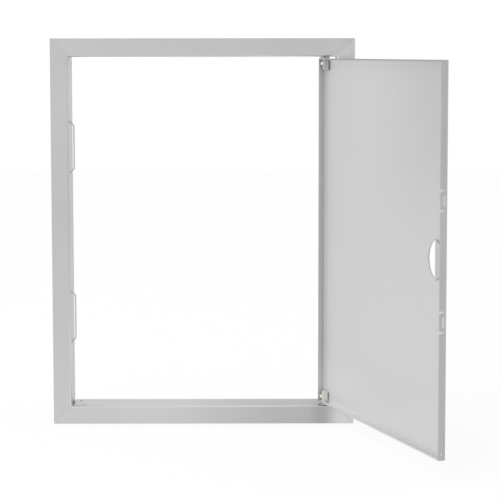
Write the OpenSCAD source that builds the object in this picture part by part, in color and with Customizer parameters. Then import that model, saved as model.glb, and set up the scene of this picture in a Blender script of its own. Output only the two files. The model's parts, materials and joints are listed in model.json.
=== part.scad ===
// Metal access panel: a mitred collar frame and a folded leaf that swings on two pivot pins.
// Sizes are in millimetres. X runs towards the hinge side, Y into the wall and Z up.
// The origin is the middle of the opening, in the plane where the flange meets the wall.

/* [Frame] */
// Width of the flange from outer edge to outer edge
frame_w = 355; // [240:5:600]
// Height of the flange from outer edge to outer edge
frame_h = 455; // [400:5:800]
// Width of one side of the flange, up to the collar's inner face
flange_w = 21.5; // [15:0.5:35]
// Depth of the collar from the flange's front to its rear edge
collar_d = 38; // [34:1:80]
// Thickness of the frame's sheet
frame_t = 1.5; // [1:0.1:2]
// Inner radius of the fold between flange and collar
frame_fold_r = 0.6; // [0.3:0.1:1]
// Gap left between two frame members at a mitre
mitre_gap = 0.1; // [0.1:0.05:0.4]
// Width of the open slit in each corner of the collar
slit_w = 0.8; // [0.6:0.1:2]
// Depth behind the flange's front where the corner slit starts
slit_start = 11; // [6:0.5:12]

/* [Corner angles] */
// Length of each leg of a corner angle
angle_leg = 18; // [14:1:30]
// Size of a corner angle along the collar's depth
angle_w = 24; // [12:1:27]
// Thickness of a corner angle
angle_t = 1.5; // [1:0.1:3]
// Distance between a corner angle and the collar's rear edge
angle_edge = 1; // [0.5:0.5:4]
// Distance of a rivet from the corner of the opening
rivet_in = 8; // [6:0.5:12]
// Distance of a rivet from the collar's rear edge
rivet_edge = 8; // [5:0.5:12]
// Radius of a rivet's shank
rivet_r = 1.9; // [1.6:0.1:2.4]
// Radius of the bore in the open end of a rivet
rivet_bore_r = 1.4; // [0.8:0.1:1.4]
// Depth of the bore in the open end of a rivet
rivet_bore_d = 2.2; // [1:0.1:2.4]
// Radius of a rivet's head
rivet_head_r = 3.4; // [3:0.1:4.5]
// Thickness of a rivet's head
rivet_head_t = 1; // [0.6:0.1:1.6]
// Radial gap between a rivet and its hole
rivet_clear = 0.05; // [0.02:0.01:0.1]

/* [Leaf] */
// Gap between the closed leaf and the collar all round
leaf_gap = 2; // [1.5:0.1:4]
// Depth of the leaf over its folded edges
leaf_depth = 8.5; // [8.5:0.5:14]
// Thickness of the leaf's sheet
leaf_t = 1.5; // [1:0.1:1.6]
// Inner radius of the leaf's folds
leaf_fold_r = 0.6; // [0.3:0.1:1]
// Width of the slit where two folded edges of the leaf meet
leaf_slit_w = 0.8; // [0.4:0.1:1.5]
// Radius of the small holes near the ends of the upright folded edges
edge_hole_r = 1.7; // [1:0.1:1.8]
// Distance of the small holes from the leaf's top and bottom
edge_hole_in = 6; // [5:0.5:10]
// Distance of the small holes behind the leaf's outer face
edge_hole_back = 4.8; // [4.2:0.1:6]
// Angle at which the leaf stands open
open_deg = 111; // [0:1:134]

/* [Finger opening] */
// Radius of the round side of the finger opening
finger_r = 21.25; // [15:0.25:30]
// Distance from the fold line to the far side of the round
finger_rise = 19.3; // [12:0.1:22]
// Distance from the leaf's latch edge to the fold line of the lip
finger_edge = 20.3; // [19:0.1:40]
// Inner radius of the fold of the lip
lip_fold_r = 0.2; // [0.2:0.1:0.8]

/* [Catch tongues] */
// Height of a tongue's middle above or below the leaf's middle
tongue_z = 62; // [40:0.1:120]
// Distance between the two notches of a tongue
tongue_l = 21; // [16:0.1:30]
// Width of a notch at the free edge
notch_tip_w = 3.8; // [2:0.1:5]
// Width of a notch at its closed end
notch_root_w = 1.4; // [0.8:0.1:2]
// Distance of a notch's closed end from the leaf's outer face
notch_root_v = 2.3; // [2.2:0.1:3]
// Length of the window in a tongue
window_l = 10.7; // [6:0.1:14]
// Width of the window in a tongue
window_w = 3.3; // [1:0.1:4]
// Distance of the window from the leaf's outer face
window_v = 2.3; // [2.2:0.1:3]

/* [Hinge] */
// Distance of the pivot axis from the leaf's hinge edge
pivot_in = 11.5; // [10:0.5:16]
// Distance of the pivot axis behind the leaf's outer face
pivot_back = 6; // [5.5:0.1:6.5]
// Radius of a pivot pin
pin_r = 1.5; // [1.2:0.1:1.8]
// Radial running clearance of a pin in the collar
pin_clear = 0.05; // [0.02:0.01:0.1]
// Length of pin that stands out past the collar
pin_past = 1.5; // [0.5:0.5:4]
// Length of pin held inside its block
pin_held = 8; // [5:0.5:9]
// Bevel at a pin's free end
pin_bevel = 0.5; // [0.2:0.1:0.8]
// Radius of the round boss of a hinge block
boss_r = 2.3; // [2.2:0.1:3]
// Length of the round boss, over its domed end
boss_l = 12; // [11:0.5:16]
// Distance between a hinge block's hollow foot and the upright fold beside it
foot_gap = 0.4; // [0.1:0.1:1]
// Height of a hinge block's hollow foot
foot_h = 12.5; // [10:0.5:16]
// Depth of the hollow foot, from the leaf up
foot_d = 3.4; // [3:0.1:4]
// Depth of the hollow in the foot, open towards the leaf and the latch side
hollow_d = 1.9; // [1:0.1:2.2]
// Thickness of the walls beside the hollow
hollow_wall = 1; // [0.8:0.1:1.4]
// Distance from the foot's open end to the pivot axis
foot_past = 5; // [3:0.5:6]
// Width of the rib between the leaf and the boss
rib_w = 2.4; // [1.6:0.1:4]
// Radius of the spacer washer on a pivot pin, between leaf and collar
washer_r = 5.5; // [4:0.5:6]
// Gap above and below a spacer washer
washer_gap = 0.25; // [0.2:0.05:0.4]

/* [Latch springs] */
// Height of a spring's middle above or below the opening's middle
spring_z = 100.5; // [80:0.5:110]
// Length of the straight middle of a spring wire
spring_l = 49.4; // [30:0.2:52]
// Distance from the collar's inner face to the middle of the spring wire
spring_off = 4.75; // [3:0.25:8]
// Radius of the spring wire
wire_r = 0.75; // [0.5:0.05:1]
// Radius of the bends in a spring wire, to the wire's middle
wire_bend_r = 2; // [1.5:0.1:2.4]
// Angle at which the legs of a spring leave the collar
leg_deg = 45; // [35:1:60]
// Length of the foot of a spring behind the collar
wire_foot_l = 8; // [4:0.5:12]
// Gap between the closed leaf's folded edge and a spring wire
spring_gap = 0.35; // [0.3:0.05:1]
// Gap between a spring wire and its slot in the collar
slot_clear = 0.2; // [0.1:0.05:0.5]

/* [Hidden] */
$fn = 48;

// Distance by which a cut runs past the solid that it cuts
past = 1;
// Size of the clear opening inside the collar
clear_w = frame_w - 2 * flange_w;
clear_h = frame_h - 2 * flange_w;
// Places along Y of the flange's front, the collar's rear edge and the rivets
front_y = -frame_t;
rear_y = front_y + collar_d;
rivet_y = rear_y - rivet_edge;
// Outer radius of the frame's fold
frame_fold_out = frame_fold_r + frame_t;
// Size of the leaf and the outer radius of its folds
leaf_w = clear_w - 2 * leaf_gap;
leaf_h = clear_h - 2 * leaf_gap;
leaf_fold_out = leaf_fold_r + leaf_t;
// Place of the pivot axis
pivot_x = leaf_w / 2 - pivot_in;
pivot_y = front_y + pivot_back;
// Place of the leaf's fold line at the lip, and the length of sheet that the fold takes
lip_x = -leaf_w / 2 + finger_edge;
lip_fold_out = lip_fold_r + leaf_t;
lip_sheet = PI * (lip_fold_r + leaf_t / 2);
// Distance of the finger opening's centre from the fold line
finger_offset = finger_r - finger_rise;
// Half the height of the lip in the middle of its fold
lip_half_h = sqrt(finger_r * finger_r - pow(finger_offset + lip_sheet / 2, 2));
// Place of the spring wires along Y, just behind the closed leaf's folded edge
spring_y = front_y + leaf_depth + spring_gap + wire_r;
// Places across the collar of a spring's straight middle and of its feet
crown_x = -clear_w / 2 + spring_off;
foot_x = -clear_w / 2 - frame_t - wire_r;
// Length of the slanted leg between its two bends
leg_l = (crown_x - foot_x - 2 * wire_bend_r * (1 - cos(leg_deg))) / sin(leg_deg);
// Height above the spring's middle where a foot starts
foot_z = spring_l / 2 + 2 * wire_bend_r * sin(leg_deg) + leg_l * cos(leg_deg);
// Height of a leg's crossing of the collar above the spring's middle
leg_cross_z = spring_l / 2 + wire_bend_r * sin(leg_deg)
    + (crown_x + clear_w / 2 + frame_t / 2 - wire_bend_r * (1 - cos(leg_deg))) / tan(leg_deg);
// Length of the slot in which a leg crosses the collar
slot_l = 2 * wire_r / sin(leg_deg) + frame_t / tan(leg_deg) + 2 * slot_clear;

steel = [0.76, 0.76, 0.76];
inner_steel = [0.80, 0.80, 0.80];
rivet_steel = [0.62, 0.62, 0.62];
wire_steel = [0.68, 0.68, 0.68];
ivory = [0.80, 0.80, 0.76];

// Lays an extrusion along X instead of Z, with the outline's X turned to Z
module along_x(length) {
    rotate([0, -90, 0])
        linear_extrude(length, center = true)
            children();
}

// Cross-section of a frame member: the flange runs in X from the outer edge, the collar in Y
module member_outline() {
    centre = flange_w - frame_fold_out;
    square([centre, frame_t]);
    translate([flange_w - frame_t, frame_fold_out])
        square([frame_t, collar_d - frame_fold_out]);
    translate([centre, frame_fold_out])
        difference() {
            intersection() {
                circle(frame_fold_out);
                translate([0, -frame_fold_out])
                    square(frame_fold_out);
            }
            circle(frame_fold_r);
        }
}

// One frame member with mitred ends, its outer edge at a distance below the middle
module member(length, distance) {
    inset = mitre_gap / sqrt(2);
    reach = flange_w + past;
    translate([0, front_y, -distance])
        intersection() {
            along_x(length)
                member_outline();
            translate([0, collar_d + past, 0])
                rotate([90, 0, 0])
                    linear_extrude(collar_d + 2 * past)
                        polygon([
                            [inset - length / 2, 0],
                            [length / 2 - inset, 0],
                            [length / 2 - inset - reach, reach],
                            [inset + reach - length / 2, reach]
                        ]);
        }
}

// Cuts in the top or bottom collar: corner slits, rivet holes and pivot holes on both sides
module level_cuts() {
    low_z = -clear_h / 2 - frame_t - past;
    cut_h = frame_t + 2 * past;
    for (side = [0, 1])
        mirror([side, 0, 0]) {
            translate([clear_w / 2 - slit_w, front_y + slit_start, low_z])
                cube([slit_w + frame_t + past, collar_d, cut_h]);
            translate([clear_w / 2 - rivet_in, rivet_y, low_z])
                cylinder(r = rivet_r + rivet_clear, h = cut_h);
            translate([pivot_x, pivot_y, low_z])
                cylinder(r = pin_r + pin_clear, h = cut_h);
        }
}

// Rivet holes near both ends of an upright collar that stands at a distance from the middle
module upright_cuts() {
    for (end = [-1, 1])
        translate([-clear_w / 2 - frame_t - past, rivet_y, end * (clear_h / 2 - rivet_in)])
            rotate([0, 90, 0])
                cylinder(r = rivet_r + rivet_clear, h = frame_t + 2 * past);
}

// Slots through which the legs of both springs pass the latch-side collar
module spring_slots() {
    slot_r = wire_r + slot_clear;
    for (spring = [-1, 1])
        for (end = [-1, 1])
            translate([-clear_w / 2 - frame_t - past, spring_y, spring * spring_z + end * leg_cross_z]) {
                translate([0, -slot_r, slot_r - slot_l / 2])
                    cube([frame_t + 2 * past, 2 * slot_r, slot_l - 2 * slot_r]);
                for (tip = [-1, 1])
                    translate([0, 0, tip * (slot_l / 2 - slot_r)])
                        rotate([0, 90, 0])
                            cylinder(r = slot_r, h = frame_t + 2 * past);
            }
}

module frame_bottom() {
    color(steel)
        difference() {
            member(frame_w, frame_h / 2);
            level_cuts();
        }
}

module frame_top() {
    rotate([0, 180, 0])
        frame_bottom();
}

module frame_left() {
    color(steel)
        difference() {
            rotate([0, 90, 0])
                member(frame_h, frame_w / 2);
            upright_cuts();
            spring_slots();
        }
}

module frame_right() {
    color(steel)
        rotate([0, 180, 0])
            difference() {
                rotate([0, 90, 0])
                    member(frame_h, frame_w / 2);
                upright_cuts();
            }
}

// Mirrors a piece of the bottom left corner to another corner
module to_corner(side, end) {
    mirror([side > 0 ? 1 : 0, 0, 0])
        mirror([0, 0, end > 0 ? 1 : 0])
            children();
}

// Angle riveted behind the collar, drawn at the bottom left corner
module corner_angle(side, end) {
    corner_x = -clear_w / 2 - frame_t;
    corner_z = -clear_h / 2 - frame_t;
    color(steel)
        to_corner(side, end)
            difference() {
                translate([corner_x - angle_t, rear_y - angle_edge - angle_w, corner_z - angle_t])
                    cube([angle_leg, angle_w, angle_leg]);
                translate([corner_x, rear_y - angle_edge - angle_w - past, corner_z])
                    cube([angle_leg, angle_w + 2 * past, angle_leg]);
                translate([-clear_w / 2 + rivet_in, rivet_y, corner_z - angle_t - past])
                    cylinder(r = rivet_r + rivet_clear, h = angle_t + 2 * past);
                translate([corner_x - angle_t - past, rivet_y, -clear_h / 2 + rivet_in])
                    rotate([0, 90, 0])
                        cylinder(r = rivet_r + rivet_clear, h = angle_t + 2 * past);
            }
}

// Tubular rivet along Z with its open end flush at the origin and its head below
module rivet() {
    grip = frame_t + angle_t;
    rotate_extrude()
        polygon([
            [0, -grip - rivet_head_t],
            [rivet_head_r * 0.7, -grip - rivet_head_t],
            [rivet_head_r, -grip - rivet_head_t / 2],
            [rivet_head_r, -grip],
            [rivet_r, -grip],
            [rivet_r, 0],
            [rivet_bore_r, 0],
            [rivet_bore_r, -rivet_bore_d],
            [0, -rivet_bore_d]
        ]);
}

// The two rivets of one corner angle
module corner_rivets(side, end) {
    color(rivet_steel)
        to_corner(side, end) {
            translate([-clear_w / 2 + rivet_in, rivet_y, -clear_h / 2])
                rivet();
            translate([-clear_w / 2, rivet_y, -clear_h / 2 + rivet_in])
                rotate([0, 90, 0])
                    rivet();
        }
}

// Straight piece of spring wire along Z
module wire(length) {
    cylinder(r = wire_r, h = length);
}

// Thin core across the joint of two pieces of wire, which makes them one solid
module wire_joint() {
    cylinder(r = 0.9 * wire_r, h = 0.4 * wire_r, center = true);
}

// Bend that starts along +Z at the origin and turns by leg_deg towards -X
module wire_bend() {
    translate([-wire_bend_r, 0, 0])
        rotate([90, 0, 0])
            rotate_extrude(angle = leg_deg)
                translate([wire_bend_r, 0])
                    circle(wire_r);
}

// Upper half of a spring wire: half the straight middle, the slanted leg and the foot
module half_spring() {
    wire(spring_l / 2);
    translate([0, 0, spring_l / 2]) {
        wire_bend();
        translate([-wire_bend_r, 0, 0])
            rotate([0, -leg_deg, 0])
                translate([wire_bend_r, 0, 0]) {
                    wire_joint();
                    wire(leg_l);
                    translate([0, 0, leg_l]) {
                        wire_joint();
                        mirror([1, 0, 0])
                            wire_bend();
                    }
                }
    }
    translate([foot_x - crown_x, 0, foot_z]) {
        wire_joint();
        wire(wire_foot_l);
    }
}

// Hat-shaped wire spring whose feet lie behind the latch-side collar
module latch_spring(spring) {
    color(wire_steel)
        translate([crown_x, spring_y, spring * spring_z])
            for (end = [0, 1])
                mirror([0, 0, end])
                    half_spring();
}

// Outline of a tray across one direction, its front corners rounded
module tray_outline(width, depth, radius) {
    translate([radius - width / 2, 0])
        square([width - 2 * radius, depth]);
    translate([-width / 2, radius])
        square([width, depth - radius]);
    for (side = [-1, 1])
        translate([side * (width / 2 - radius), radius])
            circle(radius);
}

// Block with rounded front edges on all four sides
module tray_block(width, height, depth, radius) {
    intersection() {
        linear_extrude(height, center = true)
            tray_outline(width, depth, radius);
        along_x(width)
            tray_outline(height, depth, radius);
    }
}

// Round-sided outline of the finger opening, its fold line at X = 0, as the plane X and Z
module finger_outline(start) {
    intersection() {
        translate([start - finger_offset, 0])
            circle(finger_r);
        translate([0, -finger_r])
            square([finger_r, 2 * finger_r]);
    }
}

// Lays an outline in the plane of the leaf and extrudes it along Y
module in_leaf_plane(thickness) {
    translate([0, thickness, 0])
        rotate([90, 0, 0])
            linear_extrude(thickness)
                children();
}

// Sheet of the finger opening, folded back flat behind the straight side
module finger_lip() {
    translate([lip_x, leaf_t + lip_fold_r, 0])
        intersection() {
            difference() {
                cylinder(r = lip_fold_out, h = 2 * lip_half_h, center = true);
                cylinder(r = lip_fold_r, h = 2 * lip_half_h + past, center = true);
            }
            translate([0, -lip_fold_out, -lip_half_h])
                cube([lip_fold_out, 2 * lip_fold_out, 2 * lip_half_h]);
        }
    translate([lip_x, leaf_t + 2 * lip_fold_r, 0])
        mirror([1, 0, 0])
            in_leaf_plane(leaf_t)
                finger_outline(-lip_sheet);
}

// Notches and window that free one catch tongue in the latch-side folded edge
module tongue_cuts(height) {
    depth = leaf_depth + past;
    translate([-leaf_w / 2 + leaf_t / 2, 0, height])
        rotate([90, 0, 90])
            linear_extrude(leaf_t + past, center = true) {
                for (notch = [-1, 1])
                    translate([0, notch * tongue_l / 2])
                        polygon([
                            [notch_root_v, -notch_root_w / 2],
                            [notch_root_v, notch_root_w / 2],
                            [leaf_depth, notch_tip_w / 2],
                            [depth, notch_tip_w / 2],
                            [depth, -notch_tip_w / 2],
                            [leaf_depth, -notch_tip_w / 2]
                        ]);
                translate([window_v, -window_l / 2])
                    square([window_w, window_l]);
            }
}

// Leaf drawn closed, with its outer face at Y = 0
module closed_pan() {
    difference() {
        tray_block(leaf_w, leaf_h, leaf_depth, leaf_fold_out);
        translate([0, leaf_t, 0])
            tray_block(leaf_w - 2 * leaf_t, leaf_h - 2 * leaf_t, leaf_depth, leaf_fold_r);
        for (side = [-1, 1])
            for (end = [-1, 1])
                translate([
                    side * (leaf_w / 2 - leaf_t - leaf_slit_w / 2) - leaf_slit_w / 2,
                    leaf_fold_out,
                    end * (leaf_h / 2 - leaf_t / 2) - leaf_t / 2 - past / 2
                ])
                    cube([leaf_slit_w, leaf_depth, leaf_t + past]);
        for (end = [-1, 1])
            translate([0, edge_hole_back, end * (leaf_h / 2 - edge_hole_in)])
                rotate([0, 90, 0])
                    cylinder(r = edge_hole_r, h = leaf_w + 2 * past, center = true);
        translate([pivot_x, pivot_back, 0])
            cylinder(r = pin_r, h = leaf_h + 2 * past, center = true);
        translate([lip_x, -past, 0])
            in_leaf_plane(leaf_t + 2 * past)
                finger_outline(0);
        for (height = [-tongue_z, tongue_z])
            tongue_cuts(height);
    }
    finger_lip();
}

// Turns a piece of the closed leaf about the pivot axis to where the leaf stands open
module opened() {
    translate([pivot_x, pivot_y, 0])
        rotate([0, 0, open_deg])
            translate([-pivot_x, -pivot_y, 0])
                children();
}

module leaf_pan() {
    color(inner_steel)
        opened()
            translate([0, front_y, 0])
                closed_pan();
}

// Hinge block in the upper corner of the closed leaf, its boss round the pivot axis
module closed_block() {
    seat_z = leaf_h / 2 - leaf_t;
    seat_y = front_y + leaf_t;
    foot_end_x = leaf_w / 2 - leaf_t - leaf_fold_r - foot_gap;
    foot_w = foot_end_x - pivot_x + foot_past;
    foot_l = foot_h - leaf_fold_r;
    difference() {
        union() {
            translate([pivot_x, pivot_y, seat_z - boss_l + boss_r]) {
                cylinder(r = boss_r, h = boss_l - boss_r);
                sphere(boss_r);
            }
            translate([pivot_x - foot_past, seat_y, seat_z - foot_h])
                difference() {
                    cube([foot_w, foot_d, foot_l]);
                    translate([-past, -past, hollow_wall])
                        cube([foot_w + past - hollow_wall, hollow_d + past, foot_l - 2 * hollow_wall]);
                }
            translate([pivot_x - rib_w / 2, seat_y, seat_z - boss_l + boss_r])
                cube([rib_w, pivot_y - seat_y, boss_l - boss_r - leaf_fold_r]);
        }
        translate([pivot_x, pivot_y, seat_z - pin_held])
            cylinder(r = pin_r, h = pin_held + past);
    }
}

// Pivot pin of the upper corner, from its block out through the collar
module closed_pin() {
    low_z = leaf_h / 2 - leaf_t - pin_held;
    high_z = clear_h / 2 + frame_t + pin_past;
    translate([pivot_x, pivot_y, 0]) {
        translate([0, 0, low_z])
            cylinder(r = pin_r, h = high_z - pin_bevel - low_z);
        translate([0, 0, high_z - pin_bevel])
            cylinder(r1 = pin_r, r2 = pin_r - pin_bevel, h = pin_bevel);
    }
}

// Spacer washer of the upper corner, in the gap between leaf and collar
module closed_washer() {
    translate([pivot_x, pivot_y, leaf_h / 2 + washer_gap])
        difference() {
            cylinder(r = washer_r, h = leaf_gap - 2 * washer_gap);
            translate([0, 0, -past])
                cylinder(r = pin_r + pin_clear, h = leaf_gap + 2 * past);
        }
}

module hinge_block(end) {
    color(ivory)
        opened()
            mirror([0, 0, end > 0 ? 0 : 1])
                closed_block();
}

module hinge_pin(end) {
    color(rivet_steel)
        opened()
            mirror([0, 0, end > 0 ? 0 : 1])
                closed_pin();
}

module hinge_washer(end) {
    color(rivet_steel)
        opened()
            mirror([0, 0, end > 0 ? 0 : 1])
                closed_washer();
}

frame_top();
frame_bottom();
frame_left();
frame_right();
corner_angle(-1, 1);  // corner_angle_top_left
corner_angle(1, 1);  // corner_angle_top_right
corner_angle(-1, -1);  // corner_angle_bottom_left
corner_angle(1, -1);  // corner_angle_bottom_right
corner_rivets(-1, 1);  // rivets_top_left
corner_rivets(1, 1);  // rivets_top_right
corner_rivets(-1, -1);  // rivets_bottom_left
corner_rivets(1, -1);  // rivets_bottom_right
latch_spring(1);  // latch_spring_upper
latch_spring(-1);  // latch_spring_lower
leaf_pan();
hinge_block(1);  // hinge_block_top
hinge_block(-1);  // hinge_block_bottom
hinge_pin(1);  // hinge_pin_top
hinge_pin(-1);  // hinge_pin_bottom
hinge_washer(1);  // hinge_washer_top
hinge_washer(-1);  // hinge_washer_bottom
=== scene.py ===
# %% [markdown]
# # A sheet-steel access panel
# A flat frame lines an opening in a wall, and a shallow folded tray, the leaf, swings on two pins to
# close it. The solids of both are exact and are loaded here, in metres, as a fixed frame. This script
# adds what they lack: a camera, the finish of each metal, softened sheet edges, finer wires, pins,
# rivets and mouldings, and the light.

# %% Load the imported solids
import json
import math

import bmesh
import bpy
import numpy as np
from mathutils import Matrix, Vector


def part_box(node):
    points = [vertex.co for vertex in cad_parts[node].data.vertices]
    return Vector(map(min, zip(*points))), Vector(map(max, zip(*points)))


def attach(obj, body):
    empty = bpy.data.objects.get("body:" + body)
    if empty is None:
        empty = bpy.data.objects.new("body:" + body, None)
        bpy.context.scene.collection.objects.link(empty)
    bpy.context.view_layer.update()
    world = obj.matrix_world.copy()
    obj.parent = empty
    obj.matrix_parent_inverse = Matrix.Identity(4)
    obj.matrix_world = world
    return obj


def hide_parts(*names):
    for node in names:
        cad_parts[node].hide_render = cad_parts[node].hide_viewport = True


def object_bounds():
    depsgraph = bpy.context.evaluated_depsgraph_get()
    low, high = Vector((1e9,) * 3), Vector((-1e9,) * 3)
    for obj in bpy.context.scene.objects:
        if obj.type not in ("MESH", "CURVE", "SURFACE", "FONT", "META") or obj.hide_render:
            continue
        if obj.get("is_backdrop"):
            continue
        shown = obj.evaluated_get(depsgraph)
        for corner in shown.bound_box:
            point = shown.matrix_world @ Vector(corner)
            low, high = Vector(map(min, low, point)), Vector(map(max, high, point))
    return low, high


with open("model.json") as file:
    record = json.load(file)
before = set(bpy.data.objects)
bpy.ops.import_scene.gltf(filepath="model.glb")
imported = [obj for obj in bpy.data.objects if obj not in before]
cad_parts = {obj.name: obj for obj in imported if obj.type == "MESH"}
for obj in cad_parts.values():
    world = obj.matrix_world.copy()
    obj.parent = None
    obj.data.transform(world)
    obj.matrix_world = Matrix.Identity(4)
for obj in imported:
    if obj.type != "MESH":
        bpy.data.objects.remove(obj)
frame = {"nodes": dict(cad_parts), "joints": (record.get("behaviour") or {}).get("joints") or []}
solids_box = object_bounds()
scene = bpy.context.scene
nodes = frame["nodes"]
hinge = frame["joints"][0]

# %% [markdown]
# ## Camera
# The picture was taken from nearly two metres away, a little to the right of the middle and 0.2 m
# above it, so the camera looks down by 5 degrees. A small downward lens shift keeps the uprights
# closer to parallel than that tilt alone would.

# %% Place the camera
CAMERA_AT = (0.0515, -1.916, 0.2149)
CAMERA_YAW = math.radians(-0.11)
CAMERA_TILT = math.radians(-4.91)
CAMERA_ROLL = math.radians(0.06)
CAMERA_LENS = 118.1
CAMERA_SHIFT = -0.12
CAMERA_REACH = 50

camera = bpy.data.objects.new("camera", bpy.data.cameras.new("camera"))
camera.data.lens = CAMERA_LENS
camera.data.shift_y = CAMERA_SHIFT
camera.data.clip_end = CAMERA_REACH
camera.matrix_world = (
    Matrix.Translation(CAMERA_AT)
    @ Matrix.Rotation(CAMERA_YAW, 4, "Z")
    @ Matrix.Rotation(math.pi / 2 + CAMERA_TILT, 4, "X")
    @ Matrix.Rotation(-CAMERA_ROLL, 4, "Z")
)
scene.collection.objects.link(camera)
scene.camera = camera
print(f"camera {-CAMERA_AT[1]:.2f} m in front of the panel")

# %% [markdown]
# ## Places on the panel
# Everything added here sits on the loaded solids, so its place is read from their boxes. The leaf
# stands open, which makes its places awkward to write down. So a point is given where it lies on the
# closed leaf, and is then swung about the hinge axis by the angle at which the leaf stands open.

# %% Read the main places
HINGE_AXIS = np.array(hinge["pos_m"][:2], float)
OPEN_ANGLE = math.radians(-hinge["range_deg"][0])
opening_x = -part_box("frame_left")[1].x
opening_z = -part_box("frame_bottom")[1].z
flange_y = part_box("frame_bottom")[0].y
rear_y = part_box("frame_bottom")[1].y


def swing(points, angle):
    """Points turned about the upright hinge axis by an angle.

    With x and y counted from the axis, the new ones are x cos - y sin and x sin + y cos.
    """
    cosine, sine = math.cos(angle), math.sin(angle)
    swung = np.array(points, float)
    turn = np.array([[cosine, sine], [-sine, cosine]])
    swung[..., :2] = (swung[..., :2] - HINGE_AXIS) @ turn + HINGE_AXIS
    return swung


def mesh_points(mesh):
    """All points of a mesh as one array."""
    points = np.empty(3 * len(mesh.vertices))
    mesh.vertices.foreach_get("co", points)
    return points.reshape(-1, 3)


closed_leaf = swing(mesh_points(nodes["leaf_pan"].data), -OPEN_ANGLE)
leaf_x, leaf_rim_y, leaf_z = closed_leaf.max(axis=0)
leaf_deep = leaf_rim_y - flange_y

print(f"clear opening {2000 * opening_x:.0f} x {2000 * opening_z:.0f} mm")
print(f"leaf {2000 * leaf_x:.0f} x {2000 * leaf_z:.1f} mm, open by {math.degrees(OPEN_ANGLE):.0f} degrees")

# %% [markdown]
# ## Surfaces from arrays
# A new piece starts as a grid of points: rows follow a path, and the columns of each row go round a
# section. Numpy works out all the points at once. The first and last row shrink to a point and equal
# points are merged, so each grid becomes one closed skin, with its faces turned outwards.

# %% Turn grids of points into one closed mesh
SAME_POINT = 1e-7


def ring_quads(rows, columns):
    """Quads between neighbours of a grid whose columns close into a ring."""
    here = np.arange(rows * columns).reshape(rows, columns)
    beside = np.roll(here, -1, axis=1)
    return np.stack([here[:-1], beside[:-1], beside[1:], here[1:]], axis=-1).reshape(-1, 4)


def closed_mesh(name, grids):
    """A mesh that joins several closed grids, each shaped (rows, columns, 3)."""
    starts = np.cumsum([0] + [grid.shape[0] * grid.shape[1] for grid in grids])
    points = np.concatenate([grid.reshape(-1, 3) for grid in grids])
    quads = np.concatenate([ring_quads(*grid.shape[:2]) + start for grid, start in zip(grids, starts)])
    mesh = bpy.data.meshes.new(name)
    mesh.from_pydata(points, [], quads)
    skin = bmesh.new()
    skin.from_mesh(mesh)
    bmesh.ops.remove_doubles(skin, verts=skin.verts, dist=SAME_POINT)
    bmesh.ops.recalc_face_normals(skin, faces=skin.faces)
    skin.to_mesh(mesh)
    skin.free()
    mesh.shade_smooth()
    return mesh


# %% Turn a mesh into a finished piece of the panel
def fitted_piece(name, mesh, material, body, stands_for):
    """Adds an object with that mesh and material, which rides on a body in place of a loaded solid."""
    mesh.materials.clear()
    mesh.materials.append(material)
    piece = bpy.data.objects.new(name, mesh)
    scene.collection.objects.link(piece)
    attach(piece, body)
    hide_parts(stands_for)
    print(f"{name}: {len(mesh.polygons)} faces")


# %% Round the corners of a path
def unit(vectors):
    """Vectors scaled to length one along their last axis."""
    return vectors / np.linalg.norm(vectors, axis=-1, keepdims=True)


def rounded(corners, radius, steps=6):
    """A path whose inner corners are arcs of one radius.

    With a and b the directions from a corner to its neighbours, the arc starts at corner + a t, where
    t is the radius times the tangent of half the turn. It then runs through
    start + radius (n (1 - cos p) - a sin p), where n is the part of b that is square to a, and p
    grows from zero to the turn.
    """
    corners = np.array(corners, float)
    a = unit(corners[:-2] - corners[1:-1])
    b = unit(corners[2:] - corners[1:-1])
    along = np.sum(a * b, axis=-1, keepdims=True)
    turn = np.pi - np.arccos(along)
    square = unit(b - along * a)
    start = corners[1:-1] + a * radius * np.tan(turn / 2)
    p = (turn * np.linspace(0, 1, steps + 1))[..., None]
    arcs = start[:, None] + radius * (square[:, None] * (1 - np.cos(p)) - a[:, None] * np.sin(p))
    return np.concatenate([corners[:1], arcs.reshape(-1, corners.shape[1]), corners[-1:]])


# %% Carry a circle along a path, or turn a profile about an axis
def swept_circle(path, radii, side, count=20):
    """A tube round a path that lies in one plane, to which side is the unit normal.

    Each point is path + radius (side cos q + (tangent x side) sin q), with q going round.
    """
    q = np.linspace(0, 2 * np.pi, count, endpoint=False)[None, :, None]
    across = np.cross(unit(np.gradient(path, axis=0)), side)
    ring = np.array(side) * np.cos(q) + across[:, None] * np.sin(q)
    return path[:, None] + np.array(radii)[:, None, None] * ring


def turned(profile, at, axis, count=32):
    """A profile of (radius, height) turned about an axis through a point.

    Each point is at + axis height + radius (u cos q + v sin q), with u and v square to the axis.
    """
    q = np.linspace(0, 2 * np.pi, count, endpoint=False)[None, :, None]
    axis = np.array(axis, float)
    u = unit(np.cross(axis, [0.36, 0.48, 0.8]))
    v = np.cross(axis, u)
    radius, height = np.array(profile)[:, 0, None, None], np.array(profile)[:, 1, None, None]
    return np.array(at) + axis * height + radius * (u * np.cos(q) + v * np.sin(q))


# %% [markdown]
# ## Brushed steel
# The sheet is brushed: an abrasive belt leaves fine parallel scratches, so that a reflection stays
# sharp along the grain and smears out across it. Three things in the material say so. The shader is
# anisotropic, with its tangent along the grain. Noise that is stretched along the grain shifts the
# tone and roughness a little, and the same noise raises a very slight bump. Broad, faint bands across
# the grain stand for the uneven pressure of the belt, and are also a faint painted reflection, the
# smear that such a sheet shows. A mitred frame shows why the direction matters: the grain runs along
# each member and turns at every corner.

# %% Small helpers for node trees
def add_node(material, kind, settings=None, **values):
    """A node of that kind. Settings are its own options, and values go to its input sockets."""
    node = material.node_tree.nodes.new(kind)
    for option, value in (settings or {}).items():
        setattr(node, option, value)
    for socket, value in values.items():
        node.inputs[socket.replace("_", " ")].default_value = value
    return node


def join(material, *pairs):
    """Links pairs of (output socket, input socket)."""
    for output, target in pairs:
        material.node_tree.links.new(output, target)


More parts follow.
